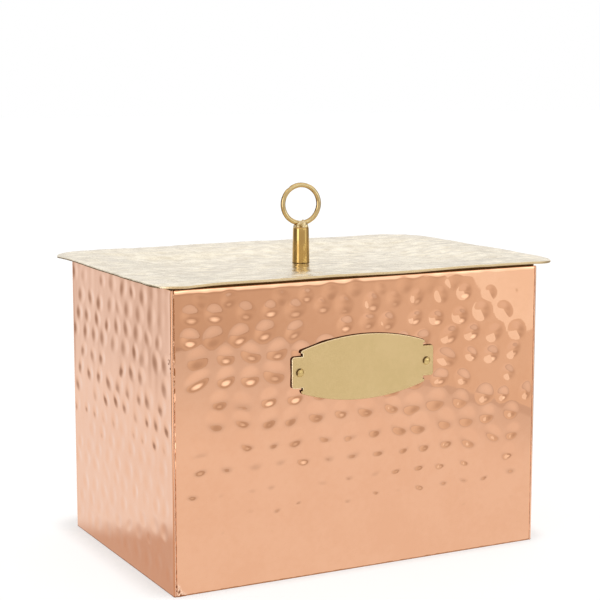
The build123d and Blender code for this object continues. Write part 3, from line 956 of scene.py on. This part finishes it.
# A ring is (points, height, 1 on top and 0 below).
rings = [(ring_points(inset), height, 1.0) for inset, height in top_edge]
rings += [(ring_points(inset), lid_level(inset), 1.0) for inset in going_in]
for t in np.linspace(0, 1, 44)[1:]:
    rings.append((floor_ring * (1 - t) + hole_ring * t, floor_level, 1.0))
for t in np.linspace(1, 0, 8):
    rings.append((floor_ring * (1 - t) + hole_ring * t, floor_level - LID_SHEET, 0.0))
rings += [(ring_points(inset), lid_level(inset) - LID_SHEET, 0.0) for inset in going_out]
rings += [(ring_points(inset), height, 0.0) for inset, height in low_edge]
rings.append(rings[0])
print("lid rings", len(rings), "points round", len(floor_ring))

# %% [markdown]
# Planishing leaves small, very shallow flats that overlap. Their slopes are only a few degrees, yet the lid
# is seen almost edge on, where that is enough for the soft streaks of the photograph. The sheet stays even
# round the post and almost even underneath, where the lip bears on it. Its rim sways, its front edge lifts
# a little and its corners droop by half a millimetre. The front and back edges are bare gold; the side
# edges are painted dark below, as shade.

# %% Lid plate
FLAT_PITCH, FLAT_DEPTH = 7.6, 0.31
LIP_X, LIP_Y = 88.0, 57.8         # just past the lip, where the rim can sway
DROOP_FROM, DROOP = 26.0, 0.5     # how far from the edges a corner begins to droop, and by how much
rng = random.Random(5)
flats = []
for i in range(-14, 15):
    for j in range(-10, 11):
        flats.append((
            (i + rng.uniform(-0.4, 0.4)) * FLAT_PITCH,
            (j + rng.uniform(-0.4, 0.4)) * FLAT_PITCH,
            rng.uniform(4.2, 6.6),
            rng.uniform(3.4, 5.2),
            FLAT_DEPTH * rng.uniform(0.5, 1.3),
        ))
around = len(floor_ring)
bm, step, ring = numbered_grid(around + 1, len(rings))
flat = np.array([points for points, _, _ in rings])[ring, step % around]
level = np.array([height for _, height, _ in rings])[ring]
on_top = np.array([top for _, _, top in rings])[ring]
outermost = np.array([points.max() > LID_X - LID_EDGE + 0.01 for points, _, _ in rings])[ring]
x, y = flat.T
worked = np.zeros(len(flat))
for cx, cy, half_x, half_y, depth in flats:
    q = 1 - ((x - cx) / half_x) ** 2 - ((y - cy) / half_y) ** 2
    worked += depth * np.clip(q, 0, 1) ** 2
from_edge = np.minimum(LID_X - abs(x), LID_Y - abs(y))
worked *= smoothstep(np.hypot(x, y), 3.9, 6.0) * (0.4 + 0.6 * smoothstep(from_edge, 0.5, 6.0))
worked *= 0.3 + 0.7 * on_top
past_lip = np.maximum(abs(x) - LIP_X, abs(y) - LIP_Y)
sway = 0.9 * (smooth_noise(flat, 30.0, 4.0) - 0.5) * smoothstep(past_lip, 0.0, 8.0)
corner_x = np.clip(abs(x) - (LID_X - DROOP_FROM), 0, None)
corner_y = np.clip(abs(y) - (LID_Y - DROOP_FROM), 0, None)
droop = DROOP * smoothstep(corner_x * corner_y / DROOP_FROM**2, 0.1, 1.0)
front_lift = 0.15 * smoothstep(-y, 58.0, 66.0) * smoothstep(x, -85.0, -40.0)
below_top = LID_TOP - level
at_edge = outermost & (below_top > 0.02)
on_side = smoothstep(abs(x), LID_X - 6.0, LID_X - 0.5)
# Painted shade on the lower part of the side edges.
painted_side_edge_shade = 0.9 * at_edge * on_side * smoothstep(below_top, 0.25, 0.55)
level = level - worked + sway + front_lift - droop
lay_out(bm, np.column_stack([flat, level]), at_edge * (1 - on_side), painted_side_edge_shade)
bmesh.ops.recalc_face_normals(bm, faces=bm.faces)
make_piece("lid_plate", bm, "lid", lid_brass)

# %% [markdown]
# ## The lip under the lid
# Four strips of L section are mitred and soldered under the lid. The leg stands inside the rim and the
# shoulder sits on it. Each strip is its section, drawn at one mitre and extruded to the other. The lip's
# brass is dark, as painted shade of the narrow gap under the lid, and the outside of the shoulder, which
# shows in that gap, is painted near black as shade.

# %% Lip strips
LEG_IN, LEG_OUT, SHOULDER, LEG_FOOT = 55.25, 56.25, 57.65, 117.0     # from the middle, and up
MITRE_SHIFT = HALF_WIDTH - HALF_DEPTH     # the long strips run this much further at each end
lip_section = [(LEG_OUT, LEG_FOOT), (LEG_OUT, WALL_HEIGHT), (SHOULDER, WALL_HEIGHT)]
lip_section += [(SHOULDER, LID_UNDER), (LEG_IN, LID_UNDER), (LEG_IN, LEG_FOOT)]

# The outside of the shoulder is painted near black with the cut colour, as shade in the gap under the lid.
for quarter_turn, side in enumerate(("front", "right", "back", "left")):
    outwards, lengthwise = (MITRE_SHIFT, 0.0) if quarter_turn % 2 else (0.0, MITRE_SHIFT)
    bm, far_end = extruded([(-(d + lengthwise), -(d + outwards), z) for d, z in lip_section])
    for v in far_end:
        v.co.x = -v.co.x
    bmesh.ops.recalc_face_normals(bm, faces=bm.faces)
    level_edges = [e for e in bm.edges if abs(e.verts[0].co.z - e.verts[1].co.z) < 0.01]
    bevel(bm, [e for e in level_edges if e.calc_length() > 20], 0.12, 2)
    cut_and_painted_light_layer = bm.verts.layers.float.new("cut_and_painted_light")
    for v in bm.verts:
        v[cut_and_painted_light_layer] = 1.0 if -v.co.y - outwards > SHOULDER - 0.25 else 0.0
    make_piece(f"lid_lip_{side}", turned(bm, 90 * quarter_turn, (0, 0, 0)), "lid", lip_brass)

# %% [markdown]
# ## The finial
# The post is turned, slightly tapered, with a blind bore for the screw from below, and a thin dark band
# round its foot. The ring is drawn wire bent round until its ends meet at the bottom, and a bead of braze
# joins it to the post. The wire isn't perfect: it has a nick and a flat, its thickness wavers, and its
# inner and outer sides are darker.

# %% Post
POST_FOOT, POST_TOP, POST_LOW, POST_HIGH, BORE, BORE_TOP = 3.95, 3.65, 127.1, 143.3, 2.05, 138.1
profile = [(0.0, BORE_TOP), (BORE, BORE_TOP), (BORE, POST_LOW)]
profile += [(POST_FOOT - 0.15, POST_LOW), (POST_FOOT, POST_LOW + 0.15)]
for t in np.linspace(0.03, 0.95, 12):
    profile.append((POST_FOOT + (POST_TOP - POST_FOOT) * t, POST_LOW + (POST_HIGH - POST_LOW) * t))
profile += [(POST_TOP, POST_HIGH - 0.4), (POST_TOP - 0.12, POST_HIGH - 0.15)]
profile += [(POST_TOP - 0.4, POST_HIGH), (0.0, POST_HIGH)]
bm = lathe(profile, 64)
cut_and_painted_light_layer, residue_and_shade_layer = mark_layers(bm)
for v in bm.verts:
    v[cut_and_painted_light_layer] = 1.0
    v[residue_and_shade_layer] = 0.7 if v.co.z < POST_LOW + 0.2 else 0.0
make_piece("finial_post", bm, "lid", finial_brass)

# %% Ring
RING_RADIUS, WIRE, RING_MIDDLE, RING_TURN = 8.65, 1.15, 153.8, -6.0
NICK_AT, FLAT_AT = 128, 75      # degrees round the ring, from +X upwards
upright = Matrix.Rotation(math.radians(90), 3, "X")
bm = bmesh.new()
bmesh.ops.create_circle(bm, cap_ends=False, segments=24, radius=WIRE)
bmesh.ops.translate(bm, vec=(RING_RADIUS, 0, 0), verts=bm.verts)
bmesh.ops.rotate(bm, cent=(0, 0, 0), matrix=upright, verts=bm.verts)
full_turn(bm, bm.verts[:] + bm.edges[:], 180)
bmesh.ops.rotate(bm, cent=(0, 0, 0), matrix=upright, verts=bm.verts)
cut_and_painted_light_layer, residue_and_shade_layer = mark_layers(bm)
for v in bm.verts:
    angle = math.degrees(math.atan2(v.co.z, v.co.x))
    outwards = Vector((v.co.x, 0, v.co.z)).normalized()
    spine = outwards * RING_RADIUS
    out = (v.co - spine) / WIRE
    size = 0.96 + 0.05 * noise.noise(v.co * 0.35)
    size -= 0.22 * bell(angle, NICK_AT, 5.0) * max(0.0, out.dot(outwards))
    size -= 0.05 * bell(angle, FLAT_AT, 14.0)
    v[cut_and_painted_light_layer] = float(smoothstep(abs(out.dot(outwards)), 0.5, 0.95))
    v[residue_and_shade_layer] = 0.66 * float(smoothstep(abs(out.dot(outwards)), 0.74, 0.98))
    v.co = spine + out * WIRE * size
bmesh.ops.recalc_face_normals(bm, faces=bm.faces)
make_piece("finial_ring", turned(bm, RING_TURN, (0, 0, RING_MIDDLE)), "lid", finial_brass)

# %% Braze
BRAZE_REACH, BRAZE_WIDEST = 3.4, 3.55
bm = bmesh.new()
bmesh.ops.create_icosphere(bm, subdivisions=5, radius=1.0)
for v in bm.verts:
    d = v.co.copy()
    lumps = 0.16 * noise.noise(d * 2.6 + Vector((3, 1, 7))) + 0.10 * noise.noise(d * 6.0)
    reach = min(BRAZE_REACH * (1 + lumps), BRAZE_WIDEST)
    peaks = 2.2 + 0.9 * bell(d.x, 0.35, 0.3) + 0.6 * bell(d.x, -0.3, 0.28)
    above_post = max(-0.05, 0.3 + d.z * peaks * (1 + 1.4 * lumps))
    v.co = (d.x * reach, d.y * reach, POST_HIGH + above_post)
bmesh.ops.smooth_vert(bm, verts=bm.verts, factor=0.4, use_axis_x=True, use_axis_y=True, use_axis_z=True)
bmesh.ops.recalc_face_normals(bm, faces=bm.faces)
make_piece("finial_braze", turned(bm, RING_TURN, (0, 0, 0)), "lid", braze_brass, 60.0)

# %% [markdown]
# ## Pieces that the CAD model already has right
# The base, the solder fillets, the washer and the screw keep their CAD meshes and get
# their finish here.

# %% Finishes on CAD nodes
kept = {"base_panel": plain_copper, "base_solder": soft_solder}
for corner_name in ("front_left", "front_right", "back_left", "back_right"):
    kept["corner_solder_" + corner_name] = soft_solder
kept |= {"finial_washer": screw_steel, "finial_screw": screw_steel}
for node, finish in kept.items():
    node_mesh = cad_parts[node].data
    node_mesh.materials.clear()
    node_mesh.materials.append(finish)
print("CAD nodes with a finish", sorted(kept))

# %% [markdown]
# ## Colour management
# Plain colour management.

# %% Finish
scene.view_settings.view_transform = "Standard"
